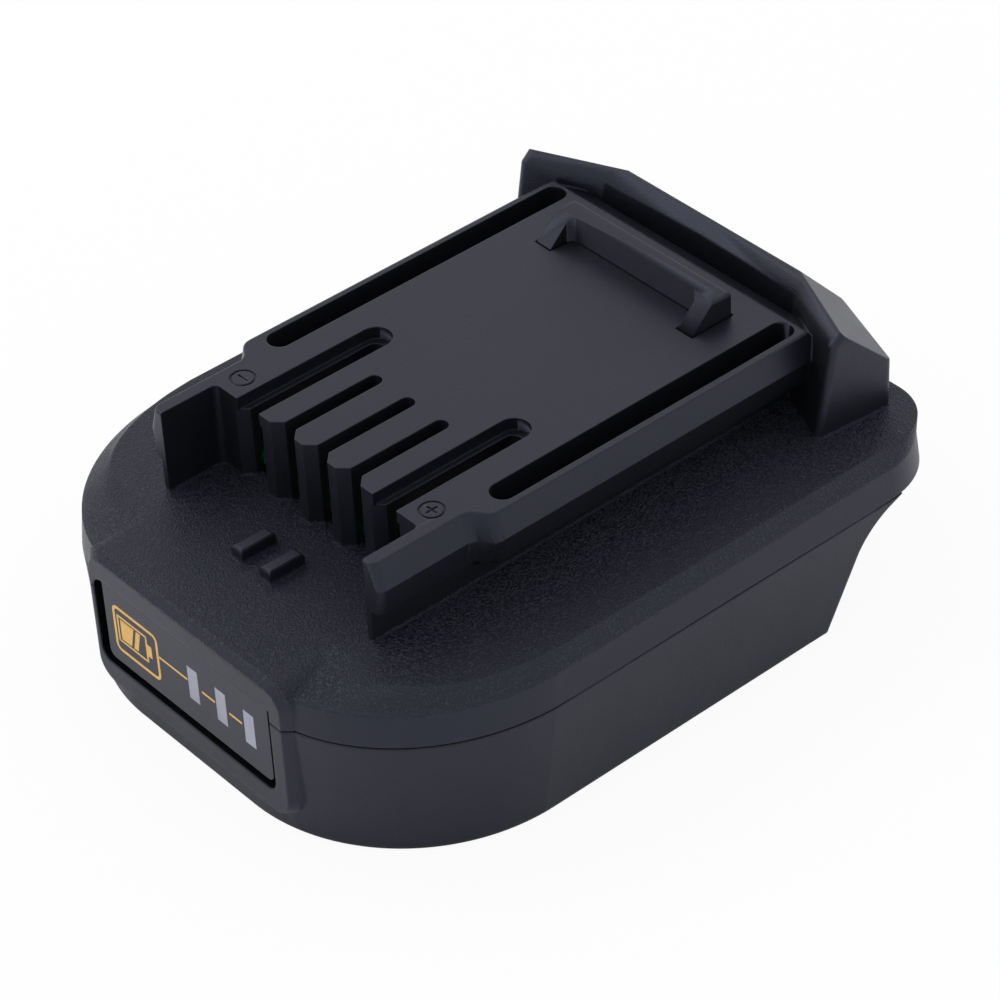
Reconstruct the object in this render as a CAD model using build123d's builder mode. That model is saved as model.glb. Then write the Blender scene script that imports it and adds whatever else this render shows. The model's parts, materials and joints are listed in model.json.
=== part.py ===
from build123d import *
import math
import os

os.makedirs("parts", exist_ok=True)

# A battery adapter for a cordless tool. Its nose points to -Y, the rails for the tool are on
# top, and a donor battery slides into the underside from the rear. The origin is on the ground
# plane, under the middle of the body.

# Body outline at the parting plane
half_width = 40.0
nose_front = 49.6
nose_relief = 0.3
rear_wall = 49.1
nose_sweep_x = 25.5
nose_sweep_y = 28.9
rear_corner = 12.0

# Heights of the body
parting_height = 18.0
deck_height = 25.0
shoulder_drop = 2.2
platform_top = 37.8
ridge_height = 40.0

# The outline draws in towards the ground and towards the deck
foot_draft = 1.5
foot_sweep_x = 26.75
foot_sweep_y = 27.3
wall_draft = 0.5
wall_corner = 11.7
deck_inset = 2.2
deck_setback = 10.1
deck_sweep_x = 11.8
deck_sweep_y = 22.3
deck_inset_rear = 0.75
deck_corner = 8.0

# Moulding
wall = 2.2
seam_bevel = 0.25
foot_round = 0.6
overrun = 1.0
near = 0.01
gap = 0.3

# Rear of the lower housing: a leaning heel that runs into a hollow round under the overhang
heel_lean = 21.8
cove_radius = 11.7
cove_centre = 41.7
cove_overlap = 0.35

# Gauge boss on the nose and the press flap in it
boss_half = 20.9
boss_foot = 3.0
boss_drop = 0.8
boss_reach = 10.4
boss_bevel = 1.1
boss_crown = 0.8
boss_corner = 3.0
flap_left = -17.0
flap_right = 17.2
flap_bottom = 7.8
hinge_share = 2 / 7
flap_thickness = 1.6
flap_corner = 1.2
flap_relief = 0.2
slot_left = 2.0
slot_below = 1.6
slot_right = 0.35
slot_corner = 1.9
slot_undercut = 25.0

# Light bars in the flap
bar_count = 3
bar_first = 1.55
bar_pitch = 5.75
bar_width = 2.1
bar_foot = 3.6
bar_head = 3.2
lens_margin = 0.6
lens_backing = 0.6

# Gauge chamber behind the boss
chamber_front = 2.6
chamber_rear = 38.5
chamber_half = 19.6
chamber_waist = 17.2
chamber_lip = 5.1
chamber_floor = 3.0
chamber_roof_share = 0.4
gauge_board_front = 43.3
gauge_board_thickness = 1.2
gauge_board_half = 18.8
gauge_board_headroom = 1.4
light_bar_depth = 1.2
light_bar_height = 2.0
switch_x = -9.0
switch_height = 11.5
switch_size = 6.0
switch_depth = 3.5
plunger_radius = 1.6
plunger_length = 2.2
plunger_tip = 0.8
plunger_well = 2.0
running_clearance = 0.05

# Slide platform
web_half = 21.2
rail_half = 26.0
rail_draft_top = 1.0
rail_draft_bottom = 1.1
rail_crease = 34.0
prong_half = 23.4
prong_draft_top = 1.2
prong_draft_bottom = 0.4
flange_bottom = 30.0
rail_round = 0.35
plate_front = 26.4
prong_front = 35.4
prong_inner = 20.3
prong_tip_round = 1.2
prong_root_round = 0.9
narrowing_start = 17.2
narrowing_length = 4.2
groove_x = 22.2
groove_width = 3.6
groove_front = 16.1
groove_rear = 35.5
groove_depth = 6.0

# Terminal slots in the platform
wide_slot_x = 13.7
wide_slot_width = 4.6
wide_slot_tip = 2.8
ledge_depth = 1.9
ledge_width = 0.95
ledge_tip = 1.2
narrow_slot_pitch = 6.6
narrow_slot_width = 2.2
narrow_slot_tip = 10.15
finger_bevel = 1.37
finger_wall = 2.5

# Polarity marks
mark_x = 18.9
mark_y = 23.1
mark_radius = 1.8
mark_line = 0.35
mark_depth = 0.25
mark_sign = 1.9

# Guide bars on the deck
guide_x = 2.9
guide_middle = -0.3
guide_width = 2.2
guide_front = 37.7
guide_length = 5.6
guide_height = 1.9
guide_bevel = 0.4

# Hump behind the platform
trough_front = 36.7
trough_depth = 1.1
trough_round = 0.8
hump_front = 40.9
hump_bow_x = 18.5
hump_bow = 0.8
hump_corner_x = 30.6
hump_corner_y = 34.7
hump_ridge = 1.8
hump_lean = 0.18
hump_shoulder = 32.2
hump_crown = 34.1
hump_tail_x = 31.8
hump_tail_y = 44.7
hump_tail_bow_x = 20.0
hump_tail_bow = 0.3
hump_tail_step = 0.25
hump_bevel = 1.5
hump_corner_round = 1.0

# Space inside the upper housing
bay_half = 19.0
bay_rear = 33.7
bay_top = 34.0
hump_bay_half = 15.5
hump_bay_rear = 46.9
hump_bay_top = 32.1
shelf_front = 33.0
shelf_thickness = 1.6

# Release latch, with its hook through the platform and its thumb piece at the rear
release_travel = 4.0
leg_outer = 15.2
leg_inner = 12.5
leg_front = 24.5
bridge_front = 28.4
bridge_rear = 31.5
hook_top = 41.5
latch_plate_top = 31.5
latch_plate_thickness = 2.5
latch_window_gap = 0.25
button_plate_front = 45.1
button_plate_half = 13.5
button_plate_bottom = 23.7
button_plate_top = 31.9
thumb_half = 11.7
thumb_rear = 49.6
thumb_bottom = 29.5
thumb_top = 31.3
thumb_window_gap = 0.1
thumb_round = 0.4
hook_round = 0.6
hook_corner = 1.0
spring_x = 9.0
spring_y = 27.5
spring_radius = 2.6
spring_wall = 0.6
spring_post_height = 6.0

# Main board and the terminal insert over it
board_bottom = 26.0
board_thickness = 1.6
board_half = 18.6
board_front = 23.6
board_rear = 20.7
post_x = 16.0
post_front = 13.5
post_rear = 16.0
post_radius = 2.2
chip_size = 7.0
chip_height = 1.0
chip_y = 10.0
insert_half = 18.0
insert_front = 23.7
insert_rear = 0.7
insert_wide_slot = 5.2
insert_narrow_slot = 3.2
insert_slot_tip = 1.0

# Female clips
clip_front = 21.3
wide_clip_length = 16.0
narrow_clip_length = 9.0
wide_clip_half = 2.05
narrow_clip_half = 1.05
wide_clip_pinch = 0.75
narrow_clip_pinch = 0.45
wide_clip_flare = 1.6
narrow_clip_flare = 0.9
wide_clip_sheet = 0.5
narrow_clip_sheet = 0.35
clip_bend = 0.5
clip_top_gap = 0.4
pinch_share = 0.6
shoulder_share = 0.2

# Receptacle for the donor battery
lip_half = 22.3
lip_height = 5.0
receptacle_half = 26.4
receptacle_top = 13.3
receptacle_front = 36.5
ceiling = 2.0
catch_half = 9.0
catch_front = 8.0
catch_length = 9.0
catch_depth = 1.2
block_half = 19.9
block_rear = 19.2
block_bottom = 0.6
power_blade_x = 13.7
power_blade_sheet = 0.8
signal_blade_sheet = 0.6
power_blade_bottom = 3.0
power_blade_top = 10.0
signal_blade_bottom = 4.0
signal_blade_top = 9.0
blade_root = 28.2
power_blade_tip = 4.0
signal_blade_tip = 6.0
tail_front = 23.2
tail_width = 2.5
blade_clearance = 0.1
blade_point = 0.2

# Lead from the gauge board to the main board
lead_x = 10.2
lead_width = 3.4
lead_thickness = 0.3
lead_foot = 14.0
lead_share = 0.52
lead_rise = 18.6
lead_bend = 1.2

# Screws that close the two housings
screw_inset = 7.0
screw_front = 16.3
screw_rear = 20.7
screw_radius = 1.5
screw_head_radius = 2.8
screw_head_height = 2.2
screw_sink = 2.8
screw_share = 4 / 7
screw_boss_radius = 3.6
thread_clearance = 0.05
head_clearance = 0.3


def body_outline(front, half, sweep_x, sweep_y, rear, corner):
    # flat nose, quarter ellipses, straight sides and round rear corners
    flat = half - sweep_x
    turn = sweep_y - front
    Line((-flat, -front), (flat, -front))
    EllipticalCenterArc((flat, turn), sweep_x, sweep_y, -90, arc_size=90)
    Line((half, turn), (half, rear - corner))
    CenterArc((half - corner, rear - corner), corner, 0, 90)
    Line((half - corner, rear), (corner - half, rear))
    CenterArc((corner - half, rear - corner), corner, 90, 90)
    Line((-half, rear - corner), (-half, turn))
    EllipticalCenterArc((-flat, turn), sweep_x, sweep_y, 180, arc_size=90)


def block(x_from, x_to, y_from, y_to, z_from, z_to, mode=Mode.ADD):
    # a straight block between two corners
    with BuildSketch(Plane.XY.offset(z_from)) as plan:
        with Locations(((x_from + x_to) / 2, (y_from + y_to) / 2)):
            Rectangle(x_to - x_from, y_to - y_from)
    extrude(plan.sketch, amount=z_to - z_from, mode=mode)


def column(places, radius, z_from, z_to, mode=Mode.ADD):
    # one round column at each place
    with BuildSketch(Plane.XY.offset(z_from)) as plan:
        with Locations(places):
            Circle(radius)
    extrude(plan.sketch, amount=z_to - z_from, mode=mode)


def at_height(part, height):
    # edges that lie flat at one height
    return part.edges().filter_by_position(Axis.Z, height - near, height + near)


nose = nose_front - nose_relief
upper_rise = deck_height - parting_height
wall_top = deck_height - shoulder_drop
boss_top = deck_height - boss_drop
hinge_height = parting_height + upper_rise * hinge_share
chamber_roof = parting_height + upper_rise * chamber_roof_share
gauge_board_top = chamber_roof - gauge_board_headroom
screw_top = parting_height + upper_rise * screw_share
bar_bottom = flap_bottom + bar_foot
bar_height = hinge_height - bar_head - bar_bottom
screw_x = half_width - screw_inset
chamber_face = chamber_front - nose_front
window_left = flap_left - slot_left
window_right = flap_right + slot_right
window_bottom = flap_bottom - slot_below
bay_front = finger_wall - plate_front
cavity_floor = receptacle_top + ceiling
lead_height = cavity_floor + (wall_top - cavity_floor) * lead_share
board_top = board_bottom + board_thickness
tail_rear = tail_width - tail_front
both_sides = (-1, 1)
narrow_places = [place * narrow_slot_pitch for place in (-1, 0, 1)]
bar_places = [bar_first + bar_pitch * place for place in range(bar_count)]
screw_places = [(side * screw_x, y) for side in both_sides for y in (-screw_front, screw_rear)]
post_places = [(side * post_x, y) for side in both_sides for y in (-post_front, post_rear)]
spring_places = [(side * spring_x, spring_y) for side in both_sides]


def flap_window():
    # the window round the press flap, wider inwards so that its walls stay out of view
    with BuildSketch(Plane.XZ.offset(nose_front)) as window:
        with Locations(((window_left + window_right) / 2, (window_bottom + hinge_height) / 2)):
            Rectangle(window_right - window_left, hinge_height - window_bottom)
        fillet(window.vertices(), slot_corner)
        with Locations(((flap_left + window_right) / 2, hinge_height - slot_corner / 2)):
            Rectangle(window_right - flap_left, slot_corner)
    extrude(window.sketch, amount=-chamber_front - overrun, taper=-slot_undercut, mode=Mode.SUBTRACT)


def inner_space(y_from, y_to, z_from, z_to):
    # the space inside the walls, between two heights
    with BuildSketch(Plane.XY.offset(z_from)) as plan:
        with BuildLine():
            body_outline(nose - wall, half_width - wall, nose_sweep_x - wall, nose_sweep_y - wall,
                         rear_wall - wall, rear_corner - wall)
        make_face()
        with Locations((0, (y_from + y_to) / 2)):
            Rectangle(2 * half_width, y_to - y_from, mode=Mode.INTERSECT)
    extrude(plan.sketch, amount=z_to - z_from, mode=Mode.SUBTRACT)


# Gauge boss: a flat front with bevelled edges, whose top runs back into the deck
boss_bevel_top = boss_top + (deck_height - boss_top) * boss_bevel / boss_reach
with BuildPart() as gauge_boss:
    for back, half, top in ((0, boss_half - boss_bevel, boss_top - boss_crown),
                            (boss_bevel, boss_half, boss_bevel_top), (boss_reach, boss_half, deck_height)):
        with BuildSketch(Plane.XZ.offset(nose_front - back)):
            with Locations((0, (boss_foot + top) / 2)):
                RectangleRounded(2 * half, top - boss_foot, boss_corner)
    loft(ruled=True)


# Hump behind the platform: a leaning front, upright sides and a top that falls away to the rear
hump_rear = rear_wall - deck_inset_rear - hump_tail_step
with BuildPart() as hump:
    for height, setback in ((deck_height, 0), (ridge_height - hump_bevel, 0), (ridge_height, hump_bevel)):
        front = hump_front - hump_lean * (ridge_height - height) + setback
        with BuildSketch(Plane.XY.offset(height)) as section:
            with BuildLine():
                ThreePointArc((0, front), (hump_bow_x / 2, front - hump_bow / 4), (hump_bow_x, front - hump_bow))
                Polyline((hump_bow_x, front - hump_bow), (hump_corner_x, front - hump_front + hump_corner_y),
                         (hump_tail_x, hump_tail_y), (hump_tail_bow_x, hump_rear - hump_tail_bow))
                ThreePointArc((hump_tail_bow_x, hump_rear - hump_tail_bow),
                              (hump_tail_bow_x / 2, hump_rear - hump_tail_bow / 4), (0, hump_rear))
                mirror(about=Plane.YZ)
            make_face()
            across = section.vertices().sort_by(Axis.X)
            fillet(across[:2] + across[-2:], hump_corner_round)
    loft(ruled=True)
    with BuildSketch(Plane.YZ):
        with BuildLine():
            slope = (hump_crown - ridge_height) / (hump_rear - hump_front - hump_ridge)
            Polyline((hump_front + hump_ridge, ridge_height), (hump_rear, hump_crown),
                     (hump_rear + overrun, hump_crown + slope * overrun), (hump_rear + overrun, ridge_height),
                     close=True)
        make_face()
    extrude(amount=hump_tail_x + overrun, both=True, mode=Mode.SUBTRACT)
    for side in both_sides:
        ridge_end = Vector(side * hump_corner_x, hump_corner_y + hump_ridge, ridge_height)
        ridge_line = Vector(side * hump_bow_x, hump_front - hump_bow + hump_ridge, ridge_height) - ridge_end
        fall = Vector(side * hump_tail_x, hump_tail_y, hump_shoulder) - ridge_end
        split(bisect_by=Plane(origin=ridge_end, z_dir=fall.cross(ridge_line) * side), keep=Keep.BOTTOM)


# Upper housing: the deck and its drafted walls
with BuildPart() as upper_housing:
    with BuildSketch(Plane.XY.offset(parting_height)):
        with BuildLine():
            body_outline(nose, half_width, nose_sweep_x, nose_sweep_y, rear_wall, rear_corner)
        make_face()
    with BuildSketch(Plane.XY.offset(wall_top)):
        with BuildLine():
            body_outline(nose - wall_draft, half_width - wall_draft, nose_sweep_x - wall_draft,
                         nose_sweep_y - wall_draft, rear_wall - wall_draft, wall_corner)
        make_face()
    with BuildSketch(Plane.XY.offset(deck_height)):
        with BuildLine():
            body_outline(nose - deck_setback, half_width - deck_inset, deck_sweep_x, deck_sweep_y,
                         rear_wall - deck_inset_rear, deck_corner)
        make_face()
    loft(ruled=True)
    add(gauge_boss.part)
    split(bisect_by=Plane.XY.offset(parting_height), keep=Keep.TOP)
    chamfer(at_height(upper_housing, parting_height), seam_bevel)
    inner_space(-chamber_rear, shelf_front, parting_height, wall_top)
    inner_space(shelf_front, rear_wall, parting_height + shelf_thickness, wall_top)
    block(-chamber_half, chamber_half, chamber_face, -chamber_rear, parting_height, chamber_roof,
          Mode.SUBTRACT)

    # slide platform: a plan outline with two prongs, whose rails are widest at a crease
    slide_rear = hump_corner_y + hump_ridge * 2
    sections = [(flange_bottom, rail_half - rail_draft_bottom, prong_half - prong_draft_bottom),
                (rail_crease, rail_half, prong_half),
                (platform_top, rail_half - rail_draft_top, prong_half - prong_draft_top)]
    for height, rail, prong in sections:
        with BuildSketch(Plane.XY.offset(height)) as slide:
            with BuildLine():
                narrow_from = -narrowing_start
                narrow_to = narrow_from - narrowing_length
                Polyline((0, slide_rear), (rail, slide_rear), (rail, narrow_from))
                Spline((rail, narrow_from), (prong, narrow_to), tangents=((0, -1), (0, -1)))
                Polyline((prong, narrow_to), (prong, -prong_front), (prong_inner, -prong_front),
                         (prong_inner, -plate_front), (0, -plate_front))
                mirror(about=Plane.YZ)
            make_face()
            tips = slide.vertices().filter_by_position(Axis.Y, -prong_front - near, near - prong_front)
            fillet(tips.sort_by(Axis.X)[0::3], prong_tip_round)
            roots = slide.vertices().filter_by_position(Axis.Y, -plate_front - near, near - plate_front)
            fillet(roots.sort_by(Axis.X)[:1] + roots.sort_by(Axis.X)[-1:], prong_root_round)
    loft(ruled=True)

    # web under the rails and the prongs
    with BuildSketch(Plane.XY.offset(deck_height)) as web:
        with Locations((0, (slide_rear - prong_front) / 2)):
            Rectangle(2 * web_half, slide_rear + prong_front)
        with Locations((0, -(plate_front + prong_front + overrun) / 2)):
            Rectangle(2 * prong_inner, prong_front + overrun - plate_front, mode=Mode.SUBTRACT)
        roots = web.vertices().filter_by_position(Axis.Y, -plate_front - near, near - plate_front)
        fillet(roots, prong_root_round)
    extrude(amount=flange_bottom - deck_height)
    edge_line = at_height(upper_housing, platform_top)
    fillet([edge for edge in edge_line if abs(edge.center().X) > prong_inner + rail_round / 2
            and edge.center().Y < slide_rear - rail_round], rail_round)
    with BuildSketch(Plane.YZ):
        with BuildLine():
            trough_floor = platform_top - trough_depth
            Polyline((trough_front - trough_round, platform_top), (trough_front, trough_floor),
                     (ridge_height, trough_floor), (ridge_height, platform_top), close=True)
        make_face()
    extrude(amount=rail_half + overrun, both=True, mode=Mode.SUBTRACT)

    add(hump.part)

    # guide bars on the deck and the outer grooves
    for side in both_sides:
        bar_x = guide_middle + side * guide_x
        block(bar_x - guide_width / 2, bar_x + guide_width / 2, -guide_front, guide_length - guide_front,
              deck_height - guide_height, deck_height + guide_height)
    chamfer(at_height(upper_housing, deck_height + guide_height), guide_bevel)
    with BuildSketch(Plane.XY.offset(platform_top)):
        for side in both_sides:
            with Locations((side * groove_x, (groove_rear - groove_front) / 2)):
                SlotOverall(groove_rear + groove_front, groove_width, rotation=90)
    extrude(amount=-groove_depth, mode=Mode.SUBTRACT)

    # space under the platform and inside the hump
    block(-bay_half, bay_half, bay_front, bay_rear, parting_height, bay_top, Mode.SUBTRACT)
    block(-hump_bay_half, hump_bay_half, bay_rear, hump_bay_rear, parting_height + shelf_thickness,
          hump_bay_top, Mode.SUBTRACT)

    # terminal slots, open at the front, with a ledge round the wide ones
    wide_places = [side * wide_slot_x for side in both_sides]
    slot_sets = [(wide_places, wide_slot_width, wide_slot_tip, platform_top, ledge_depth),
                 (wide_places, wide_slot_width - 2 * ledge_width, wide_slot_tip + ledge_tip, platform_top,
                  platform_top - bay_top + overrun),
                 (narrow_places, narrow_slot_width, narrow_slot_tip, platform_top,
                  platform_top - bay_top + overrun)]
    for places, width, tip, height, depth in slot_sets:
        with BuildSketch(Plane.XY.offset(height)):
            with Locations([(x, -(tip + plate_front) / 2 - width / 2) for x in places]):
                SlotOverall(plate_front - tip + width, width, rotation=90)
        extrude(amount=-depth, mode=Mode.SUBTRACT)
    mouth_sets = [(wide_places, wide_slot_width / 2 - ledge_width, platform_top - ledge_depth),
                  (narrow_places, narrow_slot_width / 2, platform_top)]
    for places, half, top in mouth_sets:
        flare = half + finger_bevel + overrun
        with BuildSketch(Plane.XY.offset(deck_height)):
            for x in places:
                with BuildLine():
                    Polyline((x - flare, -plate_front - overrun), (x - half, finger_bevel - plate_front),
                             (x - half, bay_front + overrun), (x + half, bay_front + overrun),
                             (x + half, finger_bevel - plate_front), (x + flare, -plate_front - overrun),
                             close=True)
                make_face()
        extrude(amount=top - deck_height, mode=Mode.SUBTRACT)

    # window for the hook, window for the thumb piece and marks beside the wide slots
    hook_gap = latch_window_gap
    with BuildSketch(Plane.XY.offset(bay_top)) as window:
        with BuildLine():
            Polyline((0, bridge_front - hook_gap), (leg_inner - hook_gap, bridge_front - hook_gap),
                     (leg_inner - hook_gap, leg_front - hook_gap), (leg_outer + hook_gap, leg_front - hook_gap),
                     (leg_outer + hook_gap, bridge_rear + hook_gap), (0, bridge_rear + hook_gap))
            mirror(about=Plane.YZ)
        make_face()
        tongue = window.vertices().filter_by_position(Axis.Y, bridge_front - hook_gap - near, bridge_front)
        fillet(tongue.sort_by(Axis.X)[:1] + tongue.sort_by(Axis.X)[-1:], hook_corner - hook_gap)
    extrude(amount=platform_top - bay_top, mode=Mode.SUBTRACT)
    block(-thumb_half - gap, thumb_half + gap, hump_bay_rear - overrun, thumb_rear + overrun,
          thumb_bottom - release_travel - thumb_window_gap, thumb_top + thumb_window_gap, Mode.SUBTRACT)
    with BuildSketch(Plane.XY.offset(platform_top)):
        for side in both_sides:
            with Locations((side * mark_x, -mark_y)):
                Circle(mark_radius)
                Circle(mark_radius - mark_line, mode=Mode.SUBTRACT)
                Rectangle(mark_sign, mark_line)
        with Locations((mark_x, -mark_y)):
            Rectangle(mark_line, mark_sign)
    extrude(amount=-mark_depth, mode=Mode.SUBTRACT)

    # window for the press flap and bosses for the screws
    flap_window()
    column(screw_places, screw_boss_radius, parting_height, wall_top)
    column(screw_places, screw_radius + thread_clearance, parting_height, screw_top + gap, Mode.SUBTRACT)
upper_housing.part.label = "upper_housing"
export_step(upper_housing.part, "parts/upper_housing.step")


# Lower housing: drafted walls, a leaning heel and a cove under the overhang
with BuildPart() as lower_housing:
    with BuildSketch(Plane.XY):
        with BuildLine():
            body_outline(nose, half_width - foot_draft, foot_sweep_x, foot_sweep_y, rear_wall, rear_corner)
        make_face()
    with BuildSketch(Plane.XY.offset(parting_height)):
        with BuildLine():
            body_outline(nose, half_width, nose_sweep_x, nose_sweep_y, rear_wall, rear_corner)
        make_face()
    loft(ruled=True)
    add(gauge_boss.part)
    split(bisect_by=Plane.XY.offset(parting_height), keep=Keep.BOTTOM)
    cove_height = parting_height + cove_overlap - cove_radius
    cove_end = math.degrees(math.asin((cove_radius - cove_overlap) / cove_radius))
    heel_height = cove_height + cove_radius * math.sin(math.radians(heel_lean))
    heel_top = cove_centre - cove_radius * math.cos(math.radians(heel_lean))
    heel_foot = heel_top - heel_height * math.tan(math.radians(heel_lean))
    with BuildSketch(Plane.YZ):
        with BuildLine():
            Line((heel_foot, 0), (heel_top, heel_height))
            cove = CenterArc((cove_centre, cove_height), cove_radius, 180 - heel_lean,
                             heel_lean - cove_end)
            Polyline(cove @ 1, (rear_wall + overrun, parting_height), (rear_wall + overrun, 0),
                     (heel_foot, 0))
        make_face()
    extrude(amount=half_width + overrun, both=True, mode=Mode.SUBTRACT)
    fillet(at_height(lower_housing, 0), foot_round)

    # receptacle for the donor battery: a T-shaped channel, open underneath and at the rear
    with BuildSketch(Plane.XZ.offset(receptacle_front)) as channel:
        with Locations((0, lip_height / 2)):
            Rectangle(2 * lip_half, lip_height)
        with Locations((0, (lip_height + receptacle_top) / 2)):
            Rectangle(2 * receptacle_half, receptacle_top - lip_height)
    extrude(amount=-receptacle_front - rear_wall, mode=Mode.SUBTRACT)
    block(-catch_half, catch_half, catch_front, catch_front + catch_length, receptacle_top,
          receptacle_top + catch_depth, Mode.SUBTRACT)

    # gauge chamber with slots for its board, and the space over the receptacle
    inner_space(-chamber_rear, shelf_front - overrun, cavity_floor, parting_height)
    block(-chamber_waist, chamber_waist, chamber_face, -chamber_rear, chamber_floor, parting_height,
          Mode.SUBTRACT)
    block(-chamber_half, chamber_half, chamber_face, chamber_lip - nose_front, chamber_floor,
          parting_height, Mode.SUBTRACT)
    block(-gauge_board_half - gap, gauge_board_half + gap, -gauge_board_front,
          gauge_board_thickness - gauge_board_front, chamber_floor, parting_height, Mode.SUBTRACT)
    flap_window()

    # posts for the board and the springs, holes for the blade tails and for the screws
    column(post_places, post_radius, cavity_floor, board_bottom)
    column(spring_places, spring_radius - spring_wall - gap, cavity_floor, cavity_floor + spring_post_height)
    for x in wide_places + narrow_places:
        sheet = power_blade_sheet if x in wide_places else signal_blade_sheet
        block(x - sheet / 2 - gap, x + sheet / 2 + gap, -tail_front - gap, tail_rear + gap, receptacle_top,
              cavity_floor, Mode.SUBTRACT)
    column(screw_places, screw_radius + thread_clearance, 0, parting_height, Mode.SUBTRACT)
    column(screw_places, screw_head_radius + head_clearance, 0, screw_sink, Mode.SUBTRACT)
lower_housing.part.label = "lower_housing"
export_step(lower_housing.part, "parts/lower_housing.step")


# Press flap of the charge gauge; its top face falls away behind the hinge line
with BuildPart() as gauge_plate:
    with BuildSketch(Plane.YZ.offset(flap_left)):
        with BuildLine():
            Polyline((-nose_front, flap_bottom), (-nose_front, hinge_height),
                     (flap_thickness - nose_front, hinge_height - flap_relief),
                     (flap_thickness - nose_front, flap_bottom), close=True)
        make_face()
    extrude(amount=flap_right - flap_left)
    fillet(at_height(gauge_plate, flap_bottom).filter_by(Axis.Y), flap_corner)
    with BuildSketch(Plane.XZ.offset(nose_front)):
        with Locations([(x, bar_bottom + bar_height / 2) for x in bar_places]):
            Rectangle(bar_width, bar_height)
    extrude(amount=-flap_thickness, mode=Mode.SUBTRACT)
gauge_plate.part.label = "gauge_plate"
export_step(gauge_plate.part, "parts/gauge_plate.step")


# Light bars: one clear moulding, with three bars that fill the windows of the flap
with BuildPart() as gauge_windows:
    with BuildSketch(Plane.XZ.offset(nose_front)):
        with Locations([(x, bar_bottom + bar_height / 2) for x in bar_places]):
            Rectangle(bar_width, bar_height)
    extrude(amount=-flap_thickness)
    with BuildSketch(Plane.XZ.offset(nose_front - flap_thickness)):
        with Locations(((bar_places[0] + bar_places[-1]) / 2, bar_bottom + bar_height / 2)):
            Rectangle(bar_places[-1] - bar_places[0] + bar_width + 2 * lens_margin,
                      bar_height + 2 * lens_margin)
    extrude(amount=-lens_backing)
gauge_windows.part.label = "gauge_windows"
export_step(gauge_windows.part, "parts/gauge_windows.step")


# Gauge board on the floor of its chamber, with a row of lights, a switch and its plunger
with BuildPart() as gauge_board:
    block(-gauge_board_half, gauge_board_half, -gauge_board_front, gauge_board_thickness - gauge_board_front,
          chamber_floor, gauge_board_top)
gauge_board.part.label = "gauge_board"
export_step(gauge_board.part, "parts/gauge_board.step")

light_height = bar_bottom + bar_height / 2
with BuildPart() as gauge_lights:
    block(bar_places[0] - bar_width, bar_places[-1] + bar_width, -gauge_board_front - light_bar_depth,
          -gauge_board_front, light_height - light_bar_height / 2, light_height + light_bar_height / 2)
gauge_lights.part.label = "gauge_lights"
export_step(gauge_lights.part, "parts/gauge_lights.step")

flap_rear = flap_thickness - nose_front
with BuildPart() as gauge_switch:
    block(switch_x - switch_size / 2, switch_x + switch_size / 2, -gauge_board_front - switch_depth,
          -gauge_board_front, switch_height - switch_size / 2, switch_height + switch_size / 2)
    with BuildSketch(Plane.XZ.offset(gauge_board_front + switch_depth)):
        with Locations((switch_x, switch_height)):
            Circle(plunger_radius + running_clearance)
    extrude(amount=-plunger_well, mode=Mode.SUBTRACT)
gauge_switch.part.label = "gauge_switch"
export_step(gauge_switch.part, "parts/gauge_switch.step")

with BuildPart() as switch_plunger:
    with BuildSketch(Plane.XZ.offset(-flap_rear)):
        with Locations((switch_x, switch_height)):
            Circle(plunger_radius)
    extrude(amount=-plunger_length)
    front_edge = switch_plunger.faces().sort_by(Axis.Y)[0].edges()
    chamfer(front_edge, plunger_radius - plunger_tip)
switch_plunger.part.label = "switch_plunger"
export_step(switch_plunger.part, "parts/switch_plunger.step")

# Flat lead from the back of the gauge board to the underside of the main board
lead_start = gauge_board_thickness - gauge_board_front + lead_thickness / 2
with BuildPart() as gauge_lead:
    with BuildSketch(Plane.YZ.offset(lead_x - lead_width / 2)):
        with BuildLine():
            path = FilletPolyline((lead_start, lead_foot), (lead_start, lead_height), (-lead_rise, lead_height),
                                  (-lead_rise, board_bottom), radius=lead_bend)
        trace(path, line_width=lead_thickness)
    extrude(amount=lead_width)
gauge_lead.part.label = "gauge_lead"
export_step(gauge_lead.part, "parts/gauge_lead.step")


# Release latch: a plate under the platform with a U-shaped hook whose legs ramp up to its bridge
latch_plate_bottom = latch_plate_top - latch_plate_thickness
with BuildPart() as release_latch:
    block(-leg_outer, leg_outer, leg_front, button_plate_front, latch_plate_bottom, latch_plate_top)
    with BuildSketch(Plane.YZ.offset(-leg_outer)):
        with BuildLine():
            Polyline((leg_front, latch_plate_top), (leg_front, platform_top), (bridge_front, hook_top),
                     (bridge_rear, hook_top), (bridge_rear, latch_plate_top), close=True)
        make_face()
    extrude(amount=2 * leg_outer)
    block(-leg_inner, leg_inner, leg_front, bridge_front, latch_plate_top, hook_top, Mode.SUBTRACT)
    upright = release_latch.edges().filter_by(Axis.Z)
    inner = upright.filter_by_position(Axis.Y, bridge_front - near, bridge_front + near)
    fillet(inner.filter_by_position(Axis.X, -leg_inner - near, leg_inner + near), hook_corner)
    fillet(at_height(release_latch, hook_top).filter_by_position(Axis.Y, bridge_front + near, bridge_rear + near),
           hook_round)
release_latch.part.label = "release_latch"
export_step(release_latch.part, "parts/release_latch.step")

with BuildPart() as release_button:
    block(-button_plate_half, button_plate_half, button_plate_front, hump_bay_rear - running_clearance,
          button_plate_bottom, button_plate_top)
    block(-thumb_half, thumb_half, hump_bay_rear - running_clearance, thumb_rear, thumb_bottom, thumb_top)
    fillet(release_button.faces().sort_by(Axis.Y)[-1].edges(), thumb_round)
release_button.part.label = "release_button"
export_step(release_button.part, "parts/release_button.step")

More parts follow.
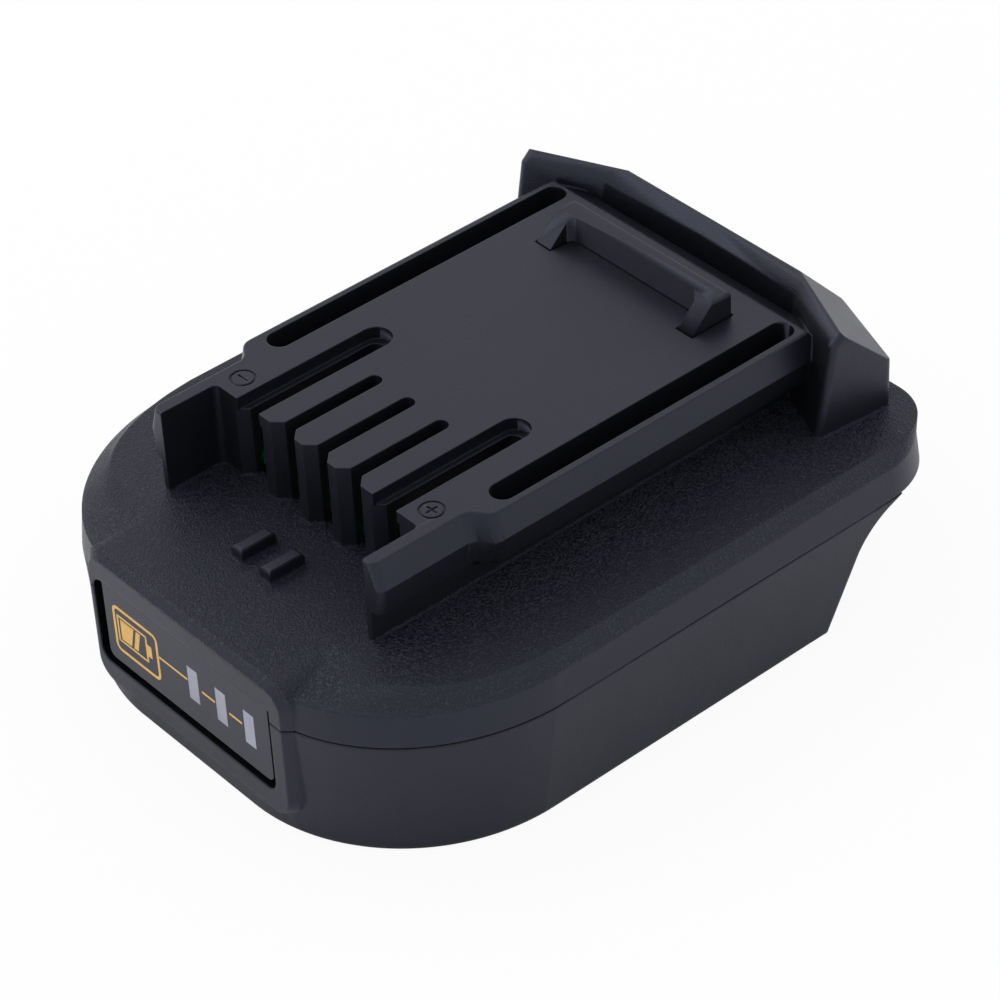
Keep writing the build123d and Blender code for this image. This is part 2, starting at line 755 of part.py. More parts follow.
# Coil springs between the space over the receptacle and the latch plate
for name, side in (("latch_spring_left", -1), ("latch_spring_right", 1)):
    with BuildPart() as spring:
        column([(side * spring_x, spring_y)], spring_radius, cavity_floor, latch_plate_bottom)
        column([(side * spring_x, spring_y)], spring_radius - spring_wall, cavity_floor, latch_plate_bottom,
               Mode.SUBTRACT)
    spring.part.label = name
    export_step(spring.part, "parts/" + name + ".step")


# Main board on its posts, with its controller underneath
with BuildPart() as main_board:
    block(-board_half, board_half, -board_front, board_rear, board_bottom, board_top)
    block(-chip_size / 2, chip_size / 2, chip_y - chip_size / 2, chip_y + chip_size / 2,
          board_bottom - chip_height, board_bottom)
main_board.part.label = "main_board"
export_step(main_board.part, "parts/main_board.step")

# Insert that stands on the board and parts the clips
with BuildPart() as terminal_carrier:
    block(-insert_half, insert_half, -insert_front, insert_rear, board_top, bay_top)
    for places, width, tip in ((wide_places, insert_wide_slot, wide_slot_tip),
                               (narrow_places, insert_narrow_slot, narrow_slot_tip)):
        with BuildSketch(Plane.XY.offset(board_top)):
            with Locations([(x, -(insert_front + overrun + tip - insert_slot_tip) / 2) for x in places]):
                Rectangle(width, insert_front + overrun - tip + insert_slot_tip)
        extrude(amount=bay_top - board_top, mode=Mode.SUBTRACT)
terminal_carrier.part.label = "terminal_carrier"
export_step(terminal_carrier.part, "parts/terminal_carrier.step")


def clip(name, x, half, pinch, flare, sheet, length):
    # a folded spring clip: foot on the board, two leaves that pinch the tool's blade and flare out
    foot = board_top + sheet / 2
    top = bay_top - clip_top_gap
    shoulder = foot + (top - foot) * shoulder_share
    waist = foot + (top - foot) * pinch_share
    with BuildPart() as made:
        with BuildSketch(Plane.XZ.offset(clip_front)) as profile:
            with BuildLine():
                fold = FilletPolyline((x - flare, top), (x - pinch, waist), (x - half, shoulder), (x - half, foot),
                                      (x + half, foot), (x + half, shoulder), (x + pinch, waist),
                                      (x + flare, top), radius=clip_bend)
            trace(fold, line_width=sheet)
        extrude(profile.sketch, amount=-length)
    made.part.label = name
    export_step(made.part, "parts/" + name + ".step")


clip("positive_clip", wide_slot_x, wide_clip_half, wide_clip_pinch, wide_clip_flare, wide_clip_sheet,
     wide_clip_length)
clip("negative_clip", -wide_slot_x, wide_clip_half, wide_clip_pinch, wide_clip_flare, wide_clip_sheet,
     wide_clip_length)
for name, x in zip(("signal_clip_left", "signal_clip_centre", "signal_clip_right"), narrow_places):
    clip(name, x, narrow_clip_half, narrow_clip_pinch, narrow_clip_flare, narrow_clip_sheet,
         narrow_clip_length)


# Block at the front of the receptacle, slotted for the blades and their tails
blade_sets = [("negative_blade", -power_blade_x, power_blade_sheet, power_blade_bottom, power_blade_top,
               power_blade_tip),
              ("positive_blade", power_blade_x, power_blade_sheet, power_blade_bottom, power_blade_top,
               power_blade_tip)]
for name, x in zip(("signal_blade_left", "signal_blade_centre", "signal_blade_right"), narrow_places):
    blade_sets.append((name, x, signal_blade_sheet, signal_blade_bottom, signal_blade_top, signal_blade_tip))

with BuildPart() as receptacle_block:
    block(-block_half, block_half, -receptacle_front, -block_rear, block_bottom, receptacle_top)
    for name, x, sheet, bottom, top, tip in blade_sets:
        half = sheet / 2 + blade_clearance
        block(x - half, x + half, -blade_root, -block_rear, bottom, top, Mode.SUBTRACT)
        block(x - half, x + half, -tail_front - blade_clearance, tail_rear + blade_clearance, top, receptacle_top,
              Mode.SUBTRACT)
receptacle_block.part.label = "receptacle_block"
export_step(receptacle_block.part, "parts/receptacle_block.step")

# Blades for the donor battery, each with a tail up to the main board
for name, x, sheet, bottom, top, tip in blade_sets:
    with BuildPart() as blade:
        block(x - sheet / 2, x + sheet / 2, -blade_root, -tip, bottom, top)
        chamfer(blade.faces().sort_by(Axis.Y)[-1].edges(), blade_point)
        block(x - sheet / 2, x + sheet / 2, -tail_front, tail_rear, top, board_bottom)
    blade.part.label = name
    export_step(blade.part, "parts/" + name + ".step")


# Four screws from below
with BuildPart() as housing_screws:
    column(screw_places, screw_radius, screw_sink, screw_top)
    column(screw_places, screw_head_radius, screw_sink - screw_head_height, screw_sink)
housing_screws.part.label = "housing_screws"
export_step(housing_screws.part, "parts/housing_screws.step")
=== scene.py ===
import json
import math

import bpy
from mathutils import Matrix, Vector

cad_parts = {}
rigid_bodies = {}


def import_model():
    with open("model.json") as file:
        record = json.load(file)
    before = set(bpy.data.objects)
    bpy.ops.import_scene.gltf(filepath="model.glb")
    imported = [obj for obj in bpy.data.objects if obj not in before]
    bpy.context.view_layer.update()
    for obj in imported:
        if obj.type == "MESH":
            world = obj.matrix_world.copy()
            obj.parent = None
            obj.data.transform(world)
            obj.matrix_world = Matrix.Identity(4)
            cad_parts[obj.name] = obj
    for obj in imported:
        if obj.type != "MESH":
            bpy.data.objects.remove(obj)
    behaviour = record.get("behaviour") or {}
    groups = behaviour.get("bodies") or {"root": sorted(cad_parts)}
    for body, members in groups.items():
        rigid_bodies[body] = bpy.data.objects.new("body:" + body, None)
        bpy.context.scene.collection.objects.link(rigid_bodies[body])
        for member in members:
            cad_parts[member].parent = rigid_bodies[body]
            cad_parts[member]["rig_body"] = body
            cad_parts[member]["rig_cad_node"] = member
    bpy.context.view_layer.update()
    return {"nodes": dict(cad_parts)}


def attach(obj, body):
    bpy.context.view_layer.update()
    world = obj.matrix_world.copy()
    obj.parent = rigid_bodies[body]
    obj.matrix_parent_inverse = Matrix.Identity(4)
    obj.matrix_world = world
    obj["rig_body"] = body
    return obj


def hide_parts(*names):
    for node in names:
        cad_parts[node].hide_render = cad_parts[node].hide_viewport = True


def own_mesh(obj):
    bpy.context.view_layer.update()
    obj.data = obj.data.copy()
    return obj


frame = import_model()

bpy.ops.object.select_all(action="DESELECT")


# Lower housing. Black glass-filled nylon, injection moulded in one shot, with smooth
# outer walls. It carries everything else and is closed from below by four screws.

def linear(colour):
    # an sRGB hex colour as linear red, green, blue and full alpha
    parts = [int(colour[i:i + 2], 16) / 255 for i in (1, 3, 5)]
    return [c / 12.92 if c <= 0.04045 else ((c + 0.055) / 1.055) ** 2.4 for c in parts] + [1.0]


def set_node(material, node, settings):
    # a setting that is another node's output is linked, any other one is put on the node
    for key, value in settings.items():
        if isinstance(value, bpy.types.NodeSocket):
            material.node_tree.links.new(value, node.inputs[key])
        elif isinstance(key, int) or key in node.inputs:
            node.inputs[key].default_value = value
        else:
            setattr(node, key, value)


def add_node(material, kind, settings):
    # a new node with its settings and links
    node = material.node_tree.nodes.new(kind)
    set_node(material, node, settings)
    return node


def new_material(name, settings):
    # a material with its shader set, and the place of each point on the object
    material = bpy.data.materials.new(name)
    material.use_nodes = True
    shader = material.node_tree.nodes["Principled BSDF"]
    set_node(material, shader, settings)
    return material, shader, add_node(material, "ShaderNodeTexCoord", {}).outputs["Object"]


def textured(material, shader, relief, depth, tone, dark, light, edge=None):
    # relief of the given depth, edges rounded by a radius if there is one, and a base colour
    # that goes from a dark tone to a light one
    bump = {"Strength": 1.0, "Distance": depth, "Height": relief}
    if edge is not None:
        rounded = add_node(material, "ShaderNodeBevel", {"samples": 6, "Radius": edge})
        bump["Normal"] = rounded.outputs["Normal"]
    normal = add_node(material, "ShaderNodeBump", bump).outputs["Normal"]
    mix = add_node(material, "ShaderNodeMix", {"data_type": "RGBA", 0: tone, 6: linear(dark),
                                               7: linear(light)})
    set_node(material, shader, {"Normal": normal, "Base Color": mix.outputs[2]})


same_point = 1e-6
flat_below = 2.5


def merged_copy(node, body, smooth_below=32):
    # a copy of a node, merged from its loose triangles and smooth where its faces turn by
    # less than the given angle in degrees
    bpy.ops.object.select_all(action="DESELECT")
    source = frame["nodes"][node]
    source.select_set(True)
    bpy.context.view_layer.objects.active = source
    bpy.ops.object.duplicate()
    piece = bpy.context.active_object
    piece.name = node + "_moulding"
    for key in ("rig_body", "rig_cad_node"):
        del piece[key]
    piece.parent = None
    bpy.ops.object.mode_set(mode="EDIT")
    bpy.ops.mesh.select_all(action="SELECT")
    bpy.ops.mesh.remove_doubles(threshold=same_point)
    bpy.ops.mesh.dissolve_limited(angle_limit=math.radians(flat_below))
    bpy.ops.object.mode_set(mode="OBJECT")
    bpy.ops.object.shade_smooth_by_angle(angle=math.radians(smooth_below))
    bpy.ops.object.modifier_add(type="WEIGHTED_NORMAL")
    piece.modifiers["WeightedNormal"].keep_sharp = True
    piece.modifiers["WeightedNormal"].weight = 100
    bpy.ops.object.modifier_apply(modifier="WeightedNormal")
    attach(piece, body)
    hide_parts(node)
    return piece


def give(piece, material):
    # one material all over a piece
    piece.data.materials.clear()
    piece.data.materials.append(material)


def dress(node, material):
    # a CAD node keeps its shape and takes a finished material
    for slot in frame["nodes"][node].material_slots:
        slot.material = material


# Glass-filled nylon off a spark-eroded tool: near black with a faint blue cast. The deck and the
# slope before it have a coarse grain of 0.3 mm spots, all else a fine one; the coarse spots are
# also painted lighter in the base colour as painted glints, so the deck's colour is lighter overall.
# Edges are rounded by 0.6 mm on the body and by 0.22 mm on the slide platform.
deck_starts = (0.0226, 0.0232)
deck_ends = (0.0252, 0.0254)
hump_starts = (0.0345, 0.0348)
coarse_spot = 0.0003
coarse_levels = (0.46, 0.68)
coarse_elsewhere = 0.05
fine_spot = 0.00014
fine_share = 0.07
grain_depth = 0.0002
platform_edge = 0.00022
body_edge = 0.0006
gloss_spot = 0.009
gloss_change = 0.03
faint_blue = linear("#C0C5E7")
housing_nylon, shader, place = new_material("glass_filled_nylon_moulded", {
    "IOR": 1.58, "Specular Tint": faint_blue})
axes = add_node(housing_nylon, "ShaderNodeSeparateXYZ", {"Vector": place})
above_wall = add_node(housing_nylon, "ShaderNodeMapRange", {
    "Value": axes.outputs["Z"], "From Min": deck_starts[0], "From Max": deck_starts[1]})
below_rails = add_node(housing_nylon, "ShaderNodeMapRange", {
    "Value": axes.outputs["Z"], "From Min": deck_ends[0], "From Max": deck_ends[1],
    "To Min": 1.0, "To Max": 0.0})
on_deck = add_node(housing_nylon, "ShaderNodeMath", {
    "operation": "MULTIPLY", 0: above_wall.outputs["Result"], 1: below_rails.outputs["Result"]})

coarse = add_node(housing_nylon, "ShaderNodeTexNoise", {
    "Scale": 1 / coarse_spot, "Detail": 3.0, "Vector": place})
# the coarse spots: relief of the grain, and also painted glints where they lighten the base colour
coarse_spots_and_painted_glints = add_node(housing_nylon, "ShaderNodeMapRange", {
    "Value": coarse.outputs["Fac"], "From Min": coarse_levels[0], "From Max": coarse_levels[1]})
share = add_node(housing_nylon, "ShaderNodeMapRange", {
    "Value": on_deck.outputs["Value"], "To Min": coarse_elsewhere, "To Max": 1.0})
coarse_grain_and_painted_glints = add_node(housing_nylon, "ShaderNodeMath", {
    "operation": "MULTIPLY", 0: coarse_spots_and_painted_glints.outputs["Result"], 1: share.outputs["Result"]})
fine = add_node(housing_nylon, "ShaderNodeTexNoise", {"Scale": 1 / fine_spot, "Vector": place})
fine_grain = add_node(housing_nylon, "ShaderNodeMath", {
    "operation": "MULTIPLY", 0: fine.outputs["Fac"], 1: fine_share})
grain = add_node(housing_nylon, "ShaderNodeMath", {
    "operation": "ADD", 0: coarse_grain_and_painted_glints.outputs["Value"], 1: fine_grain.outputs["Value"]})

on_hump = add_node(housing_nylon, "ShaderNodeMapRange", {
    "Value": axes.outputs["Y"], "From Min": hump_starts[0], "From Max": hump_starts[1]})
on_body = add_node(housing_nylon, "ShaderNodeMath", {
    "operation": "MAXIMUM", 0: below_rails.outputs["Result"], 1: on_hump.outputs["Result"]})
edge = add_node(housing_nylon, "ShaderNodeMapRange", {
    "Value": on_body.outputs["Value"], "To Min": platform_edge, "To Max": body_edge})
# the base colour goes light on the coarse spots: painted glints on the deck and the slope before it
textured(housing_nylon, shader, relief=grain.outputs["Value"], depth=grain_depth,
         tone=coarse_grain_and_painted_glints.outputs["Value"], dark="#101114", light="#2E3038",
         edge=edge.outputs["Result"])

patches = add_node(housing_nylon, "ShaderNodeTexNoise", {
    "Scale": 1 / gloss_spot, "Detail": 4.0, "Vector": place})
uneven = add_node(housing_nylon, "ShaderNodeMapRange", {
    "Value": patches.outputs["Fac"], "From Min": 0.3, "From Max": 0.7,
    "To Min": -gloss_change, "To Max": gloss_change})
duller = add_node(housing_nylon, "ShaderNodeMapRange", {
    "Value": on_deck.outputs["Value"], "To Min": 0.36, "To Max": 0.42})
gloss = add_node(housing_nylon, "ShaderNodeMath", {
    "operation": "ADD", 0: duller.outputs["Result"], 1: uneven.outputs["Result"]})
set_node(housing_nylon, shader, {"Roughness": gloss.outputs["Value"]})

lower_housing = merged_copy("lower_housing", "adapter", 14)
give(lower_housing, housing_nylon)


# Terminals for the donor battery, at the front of the channel underneath. Five blades of
# tin-plated copper, blanked from sheet, stand in a block of black glass-filled polyester.

def grained(material, shader, place, spot, depth, cloud, dark, light, edge=None):
    # the plain finish: spots of relief about as wide as given, under clouds of colour
    spots = add_node(material, "ShaderNodeTexNoise", {"Scale": 1 / spot, "Vector": place})
    clouds = add_node(material, "ShaderNodeTexNoise", {"Scale": 1 / cloud, "Vector": place})
    textured(material, shader, spots.outputs["Fac"], depth, clouds.outputs["Fac"], dark, light, edge)


# Polyester moulded against a plain tool: a dull black with a grain of 0.25 mm.
insert_polyester, shader, place = new_material("glass_filled_polyester_moulded", {
    "Roughness": 0.5, "IOR": 1.55})
grained(insert_polyester, shader, place, spot=0.00025, depth=0.00004, cloud=0.002,
        dark="#0B0C0D", light="#141517")
dress("receptacle_block", insert_polyester)

# Tin over rolled copper strip: a warm grey with clouds of more and less shine, and rolling
# marks 0.12 mm wide and about eight times as long, drawn coarser than real ones to show.
tin_plating, shader, place = new_material("tin_plated_copper_blanked", {"Metallic": 1.0})
strip = add_node(tin_plating, "ShaderNodeMapping", {"Scale": (1.0, 0.12, 1.0), "Vector": place})
rolled = add_node(tin_plating, "ShaderNodeTexNoise", {
    "Scale": 1 / 0.00012, "Detail": 4.0, "Vector": strip.outputs["Vector"]})
clouds = add_node(tin_plating, "ShaderNodeTexNoise", {"Scale": 1 / 0.003, "Vector": place})
textured(tin_plating, shader, relief=rolled.outputs["Fac"], depth=0.000006,
         tone=clouds.outputs["Fac"], dark="#A39C90", light="#C9C5BE")
worn = add_node(tin_plating, "ShaderNodeTexNoise", {"Scale": 1 / 0.002, "Vector": place})
gloss = add_node(tin_plating, "ShaderNodeMapRange", {
    "Value": worn.outputs["Fac"], "From Min": 0.3, "From Max": 0.7, "To Min": 0.24, "To Max": 0.38})
set_node(tin_plating, shader, {"Roughness": gloss.outputs["Result"]})
for blade in ("negative_blade", "positive_blade", "signal_blade_left", "signal_blade_centre",
              "signal_blade_right"):
    dress(blade, tin_plating)


# Charge gauge behind the nose: a green board with its lights and a metal-cased push switch,
# and the flat amber film lead that runs back to the main board. The tracks lie 1 mm apart in
# patches of about 5.5 mm that run one way or the other.

# Copper tracks etched on glass cloth and epoxy, under a green solder mask: a satin green
# with lighter, slightly raised lines.
track_pitch = 0.001
track_patch = 0.0055
track_edge = (0.00032, 0.00036)
board_green, shader, place = new_material("epoxy_glass_laminate_solder_mask", {
    "Roughness": 0.35, "IOR": 1.55})
axes = add_node(board_green, "ShaderNodeSeparateXYZ", {"Vector": place})
patches = add_node(board_green, "ShaderNodeTexVoronoi", {
    "distance": "CHEBYCHEV", "Scale": 1 / track_patch, "Vector": place})
turned = add_node(board_green, "ShaderNodeMapRange", {
    "Value": patches.outputs["Color"], "From Min": 0.499, "From Max": 0.501})
along = add_node(board_green, "ShaderNodeMix", {
    0: turned.outputs["Result"], 2: axes.outputs["X"], 3: axes.outputs["Y"]})
between = add_node(board_green, "ShaderNodeMath", {
    "operation": "PINGPONG", 0: along.outputs[0], 1: track_pitch / 2})
line = add_node(board_green, "ShaderNodeMapRange", {
    "Value": between.outputs["Value"], "From Min": track_edge[0], "From Max": track_edge[1]})
textured(board_green, shader, relief=line.outputs["Result"], depth=0.00003,
         tone=line.outputs["Result"], dark="#0C4F2E", light="#1A7345")
dress("gauge_board", board_green)

# Clear epoxy, cast over the lights in a row: pale and glossy, with a soft waviness.
light_clear, shader, place = new_material("clear_epoxy_cast_over_lights", {
    "Roughness": 0.15, "IOR": 1.52})
grained(light_clear, shader, place, spot=0.0006, depth=0.00002, cloud=0.0012,
        dark="#CFCBB8", light="#ECEADF")
dress("gauge_lights", light_clear)

# Steel sheet, stamped and folded into a case, then nickel plated: a light grey metal that
# shines softly.
switch_nickel, shader, place = new_material("nickel_plated_steel_stamped", {
    "Roughness": 0.28, "Metallic": 1.0})
grained(switch_nickel, shader, place, spot=0.0003, depth=0.000008, cloud=0.0015,
        dark="#9A9A97", light="#B9B9B6")
give(merged_copy("gauge_switch", "adapter"), switch_nickel)
give(merged_copy("switch_plunger", "plunger"), insert_polyester)

# Polyimide film laminated over flat copper conductors, 0.7 mm apart: glossy amber with
# stripes of a darker and a lighter tone.
conductor_pitch = 0.0007
conductor_edge = (0.00014, 0.00018)
film_amber, shader, place = new_material("polyimide_film_laminated", {
    "Roughness": 0.3, "IOR": 1.65})
axes = add_node(film_amber, "ShaderNodeSeparateXYZ", {"Vector": place})
between = add_node(film_amber, "ShaderNodeMath", {
    "operation": "PINGPONG", 0: axes.outputs["X"], 1: conductor_pitch / 2})
stripe = add_node(film_amber, "ShaderNodeMapRange", {
    "Value": between.outputs["Value"], "From Min": conductor_edge[0], "From Max": conductor_edge[1]})
textured(film_amber, shader, relief=stripe.outputs["Result"], depth=0.00002,
         tone=stripe.outputs["Result"], dark="#7A3F0E", light="#B5702A")
give(merged_copy("gauge_lead", "adapter"), film_amber)


# Main board on its posts, the black insert over it that parts the terminals, and the five
# folded clips that grip the tool's blades.

dress("main_board", board_green)
dress("terminal_carrier", insert_polyester)
for clip in ("negative_clip", "positive_clip", "signal_clip_left", "signal_clip_centre",
             "signal_clip_right"):
    give(merged_copy(clip, "adapter", 50), tin_plating)


# Latch springs: coils of 0.6 mm drawn steel wire, 5.2 mm across outside. They ride with the
# housing at one length here and do not shorten as the latch is pressed down.

wire_radius = 0.0003
wire_sides = 12
spring_places = (("latch_spring_left", -0.009), ("latch_spring_right", 0.009))
spring_y = 0.0275
coil_radius = 0.0023
coil_foot = 0.0153
coil_height = 0.0137
coil_turns = 7
coil_steps = 40

# Wire drawn through a die: a mid grey metal with a soft shine.
spring_steel, shader, place = new_material("music_wire_drawn", {"Roughness": 0.3, "Metallic": 1.0})
grained(spring_steel, shader, place, spot=0.00015, depth=0.000006, cloud=0.001,
        dark="#7C7D80", light="#A2A3A5")
for name, x in spring_places:
    bpy.ops.object.select_all(action="DESELECT")
    bpy.ops.mesh.primitive_circle_add(vertices=wire_sides, radius=wire_radius,
                                      rotation=(math.pi / 2, 0, 0), location=(coil_radius, 0, 0))
    coil = bpy.context.active_object
    coil.name = name + "_coil"
    bpy.ops.object.transform_apply(location=True, rotation=True, scale=True)
    bpy.ops.object.modifier_add(type="SCREW")
    coil.modifiers["Screw"].screw_offset = (coil_height - 2 * wire_radius) / coil_turns
    coil.modifiers["Screw"].iterations = coil_turns
    coil.modifiers["Screw"].steps = coil_steps
    coil.modifiers["Screw"].render_steps = coil_steps
    bpy.ops.object.modifier_apply(modifier="Screw")
    coil.location = (x, spring_y, coil_foot + wire_radius)
    bpy.ops.object.transform_apply(location=True, rotation=True, scale=True)
    bpy.ops.object.mode_set(mode="EDIT")
    bpy.ops.mesh.select_all(action="SELECT")
    bpy.ops.mesh.fill_holes(sides=wire_sides)
    bpy.ops.mesh.select_all(action="SELECT")
    bpy.ops.mesh.normals_make_consistent(inside=False)
    bpy.ops.object.mode_set(mode="OBJECT")
    bpy.ops.object.shade_smooth_by_angle(angle=math.radians(50))
    give(coil, spring_steel)
    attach(coil, "adapter")
    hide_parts(name)
    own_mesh(coil)


# Release latch: the U-shaped hook that stands through the platform, and the thumb piece at
# the rear. Acetal, moulded, with the same fine texture as the platform.

# Acetal off a finely textured tool: near black with the same faint blue cast, and edges
# rounded by 0.22 mm.
latch_acetal, shader, place = new_material("acetal_moulded", {
    "Roughness": 0.42, "IOR": 1.55, "Specular Tint": faint_blue})
grained(latch_acetal, shader, place, spot=0.00016, depth=0.00002, cloud=0.0007,
        dark="#101114", light="#151619", edge=0.00022)
for node in ("release_latch", "release_button"):
    give(merged_copy(node, "release"), latch_acetal)


# Upper housing. The same nylon: deck, slide platform with its undercut rails, prongs
# and terminal slots, and the hump behind it, all in one moulding.

upper_housing = merged_copy("upper_housing", "adapter", 22)
give(upper_housing, housing_nylon)


# Four closing screws, black oxide on cold-headed steel, each with a cross recess cut
# 1.2 mm deep into its head.

screw_columns = (-0.033, 0.033)
screw_rows = (-0.0163, 0.0207)
recess_length = 0.0030
recess_width = 0.0007
recess_top = 0.0018
recess_bars = ((recess_length, recess_width, recess_top), (recess_width, recess_length, recess_top))

# Steel headed cold and blackened in a bath: a dark grey metal without a bright spot.
screw_oxide, shader, place = new_material("black_oxide_steel_cold_headed", {
    "Roughness": 0.38, "Metallic": 1.0})
grained(screw_oxide, shader, place, spot=0.0002, depth=0.000008, cloud=0.0012,
        dark="#232325", light="#3B3B3D")
screws = merged_copy("housing_screws", "adapter")
give(screws, screw_oxide)
bpy.ops.object.select_all(action="DESELECT")
cutters = []
for x in screw_columns:
    for y in screw_rows:
        for bar in recess_bars:
            bpy.ops.mesh.primitive_cube_add(size=1.0, location=(x, y, recess_top / 2), scale=bar)
            cutters.append(bpy.context.active_object)
for cutter in cutters:
    cutter.select_set(True)
bpy.ops.object.join()
cutter = bpy.context.active_object
bpy.ops.object.select_all(action="DESELECT")
screws.select_set(True)
bpy.context.view_layer.objects.active = screws
bpy.ops.object.modifier_add(type="BOOLEAN")
screws.modifiers["Boolean"].object = cutter
screws.modifiers["Boolean"].operation = "DIFFERENCE"
screws.modifiers["Boolean"].use_self = True
bpy.ops.object.modifier_apply(modifier="Boolean")
bpy.data.objects.remove(cutter)


# Press flap of the charge gauge. Black ABS, moulded, thin enough to give way under a
# thumb; three frosted bars show the lights behind it. Its front is set back by the room
# that the printed sign needs.

nose_front = -0.0496
front_reach = 0.00001
ink_room = 0.000016

# ABS off a finely textured tool: near black, with edges rounded by 0.15 mm. It reflects a
# little more than the housings do.
flap_abs, shader, place = new_material("abs_flap_moulded", {
    "Roughness": 0.38, "IOR": 1.64, "Specular Tint": faint_blue})
grained(flap_abs, shader, place, spot=0.00014, depth=0.00002, cloud=0.0007,
        dark="#111216", light="#16171B", edge=0.00015)
flap = merged_copy("gauge_plate", "gauge_flap")
give(flap, flap_abs)
for vertex in flap.data.vertices:
    vertex.select = vertex.co.y < nose_front + front_reach
bpy.ops.object.mode_set(mode="EDIT")
bpy.ops.transform.translate(value=(0, ink_room, 0))
bpy.ops.object.mode_set(mode="OBJECT")

# Polycarbonate moulded against a frosted tool: a pale grey, milky enough to spread the light.
frosted, shader, place = new_material("frosted_polycarbonate_moulded", {
    "Roughness": 0.4, "IOR": 1.58, "Subsurface Weight": 0.2, "Subsurface Scale": 0.001})
grained(frosted, shader, place, spot=0.0002, depth=0.00001, cloud=0.002,
        dark="#8E90A0", light="#A6A8B6")
give(merged_copy("gauge_windows", "gauge_flap"), frosted)


# Sign printed on the flap: a battery in a frame, tied by a line to the light bars. Gold
# ink, pad printed 12 microns thick: a matt yellow brown, a little uneven in tone.

ink_depth = 0.000012
gold_ink, shader, place = new_material("gold_ink_pad_printed", {"Roughness": 0.45, "IOR": 1.5})
grained(gold_ink, shader, place, spot=0.0002, depth=0.000008, cloud=0.0005,
        dark="#D29A38", light="#EBC272")


def printed(name, x_from, x_to, z_from, z_to, corner, line=0.0, leans=(0.0, 0.0)):
    # a patch of ink on the flap, or with a line width only its outline; its left and right
    # edges lean over to the right by the lengths given
    bpy.ops.object.select_all(action="DESELECT")
    bpy.ops.mesh.primitive_plane_add(size=1.0)
    patch = bpy.context.active_object
    patch.name = name
    patch.scale = (x_to - x_from, z_to - z_from, 1)
    patch.rotation_euler = (math.pi / 2, 0, 0)
    patch.location = ((x_from + x_to) / 2, nose_front, (z_from + z_to) / 2)
    bpy.ops.object.transform_apply(location=True, rotation=True, scale=True)
    for side, lean in zip((x_from, x_to), leans):
        bpy.ops.object.mode_set(mode="EDIT")
        bpy.ops.mesh.select_all(action="DESELECT")
        bpy.ops.object.mode_set(mode="OBJECT")
        for vertex in patch.data.vertices:
            vertex.select = (abs(vertex.co.x - side) < same_point
                             and abs(vertex.co.z - z_to) < same_point)
        bpy.ops.object.mode_set(mode="EDIT")
        bpy.ops.transform.translate(value=(lean, 0, 0))
    bpy.ops.mesh.select_all(action="SELECT")
    bpy.ops.mesh.bevel(offset=corner, segments=6, affect="VERTICES")
    bpy.ops.mesh.select_all(action="SELECT")
    if line:
        bpy.ops.mesh.inset(thickness=line, depth=0)
        bpy.ops.mesh.delete(type="FACE")
        bpy.ops.mesh.select_all(action="SELECT")
    bpy.ops.mesh.extrude_region_move(TRANSFORM_OT_translate={"value": (0, ink_depth, 0)})
    bpy.ops.mesh.select_all(action="SELECT")
    bpy.ops.mesh.normals_make_consistent(inside=False)
    bpy.ops.object.mode_set(mode="OBJECT")
    give(patch, gold_ink)
    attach(patch, "gauge_flap")


printed("sign_frame", -0.0153, -0.0057, 0.0099, 0.0176, 0.0011, 0.00048)
printed("sign_battery", -0.0145, -0.0081, 0.0117, 0.0162, 0.0002, 0.00034)
printed("sign_battery_cap", -0.0081, -0.0072, 0.0129, 0.0149, 0.0001)
printed("sign_battery_fill", -0.0138, -0.0117, 0.0123, 0.0156, 0.0001, leans=(0.0, 0.0008))
printed("sign_battery_strip", -0.0112, -0.0103, 0.0123, 0.0156, 0.0001, leans=(0.0008, 0.0008))
printed("sign_line", -0.0058, 0.0003, 0.01412, 0.01448, 0.0001)
printed("sign_dash_left", 0.0033, 0.0060, 0.01392, 0.01428, 0.0001)
printed("sign_dash_right", 0.0089, 0.0115, 0.01392, 0.01428, 0.0001)


# Floor, light and camera. White background paper from a roll, lit evenly from all round so
# that it comes out white, with one large softbox high at the left, and the camera where the
# photograph was taken from: 51 degrees round to the right and 39 above, tipped 3 degrees.

floor_size = 6.0
paper_glow = 0.92
floor_paper, shader, place = new_material("white_studio_paper", {"Roughness": 0.9, "IOR": 1.5})
clouds = add_node(floor_paper, "ShaderNodeTexNoise", {
    "Scale": 1 / 0.004, "Detail": 3.0, "Vector": place})
tones = add_node(floor_paper, "ShaderNodeMix", {
    "data_type": "RGBA", 0: clouds.outputs["Fac"], 6: linear("#F0F0F2"), 7: linear("#F5F5F7")})
set_node(floor_paper, shader, {"Base Color": tones.outputs[2]})
glow = add_node(floor_paper, "ShaderNodeEmission", {"Color": (1, 1, 1, 1), "Strength": 1.0})
path = add_node(floor_paper, "ShaderNodeLightPath", {})
seen = add_node(floor_paper, "ShaderNodeMath", {
    "operation": "MULTIPLY", 0: path.outputs["Is Camera Ray"], 1: paper_glow})
mixed = add_node(floor_paper, "ShaderNodeMixShader", {
    0: seen.outputs["Value"], 1: shader.outputs["BSDF"], 2: glow.outputs["Emission"]})
set_node(floor_paper, floor_paper.node_tree.nodes["Material Output"],
         {"Surface": mixed.outputs["Shader"]})
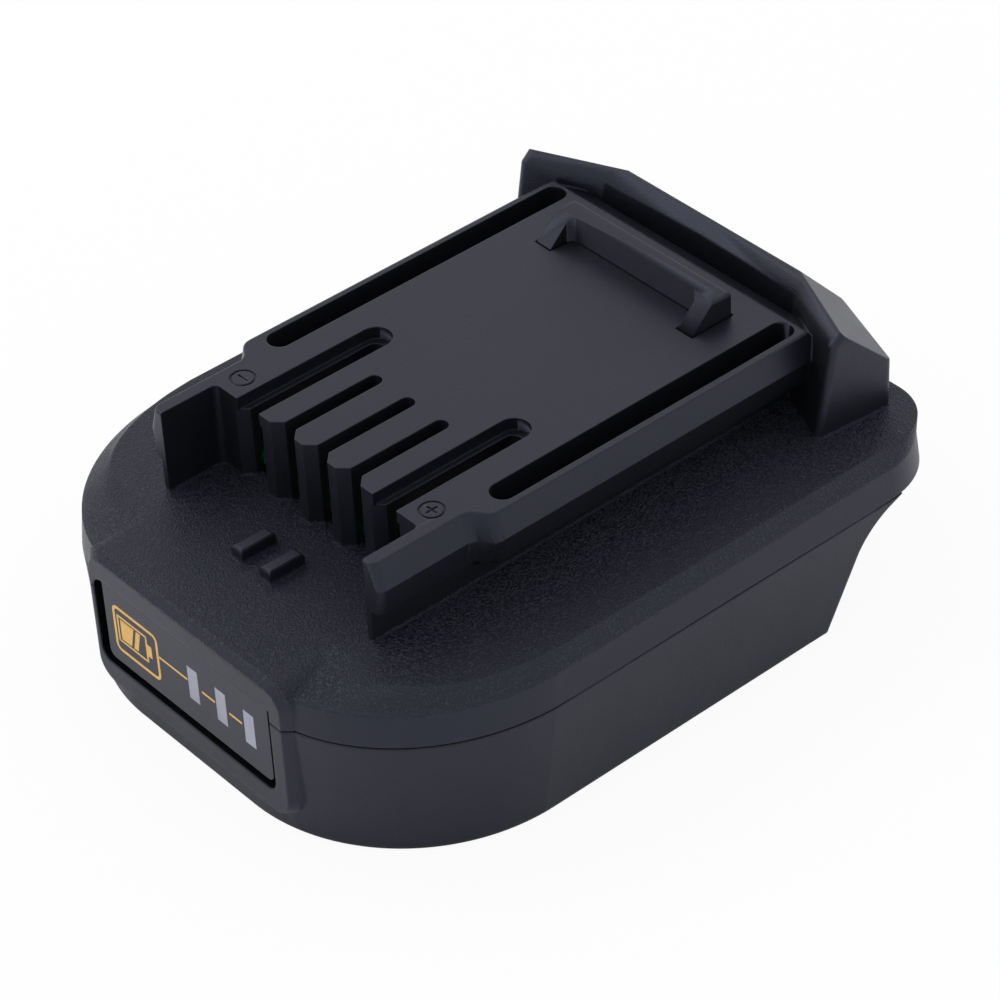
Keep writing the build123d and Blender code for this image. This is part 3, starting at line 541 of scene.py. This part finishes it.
bpy.ops.object.select_all(action="DESELECT")
bpy.ops.mesh.primitive_plane_add(size=floor_size, location=(0, 0, 0))
floor = bpy.context.active_object
floor.name = "floor"
give(floor, floor_paper)

world_strength = 0.9
seen_strength = 1.0
world = bpy.data.worlds.new("studio")
bpy.context.scene.world = world
world.use_nodes = True
path = add_node(world, "ShaderNodeLightPath", {})
strength = add_node(world, "ShaderNodeMapRange", {
    "Value": path.outputs["Is Camera Ray"], "To Min": world_strength, "To Max": seen_strength})
set_node(world, world.node_tree.nodes["Background"],
         {"Color": (1, 1, 1, 1), "Strength": strength.outputs["Result"]})

lamp_place = Vector((-0.7, -0.3, 0.9))
lamp_width = 0.9
lamp_height = 0.6
lamp_watts = 3.0
lamp = bpy.data.objects.new("softbox", bpy.data.lights.new("softbox", "AREA"))
bpy.context.scene.collection.objects.link(lamp)
lamp.data.shape = "RECTANGLE"
lamp.data.size = lamp_width
lamp.data.size_y = lamp_height
lamp.data.energy = lamp_watts
aim = lamp_place.to_track_quat("Z", "Y").to_matrix().to_4x4()
lamp.matrix_world = Matrix.Translation(lamp_place) @ aim

target = Vector((-0.006685, 0.0087, 0.00684))
distance = 0.518342
sensor = 36
focal_ratio = 3.796284
azimuth, elevation, tip = (math.radians(a) for a in (50.776, 38.634, -3.058))
back = Vector((math.sin(azimuth) * math.cos(elevation), -math.cos(azimuth) * math.cos(elevation),
               math.sin(elevation)))
level = Vector((math.cos(azimuth), math.sin(azimuth), 0))
above = back.cross(level)
right = level * math.cos(tip) + above * math.sin(tip)
up = above * math.cos(tip) - level * math.sin(tip)
camera = bpy.data.objects.new("camera", bpy.data.cameras.new("camera"))
bpy.context.scene.collection.objects.link(camera)
turn = Matrix((right, up, back)).transposed().to_4x4()
camera.matrix_world = Matrix.Translation(target + back * distance) @ turn
camera.data.sensor_width = sensor
camera.data.lens = sensor * focal_ratio
camera.data.clip_start = 0.01
bpy.context.scene.camera = camera
bpy.context.scene.view_settings.view_transform = "Standard"
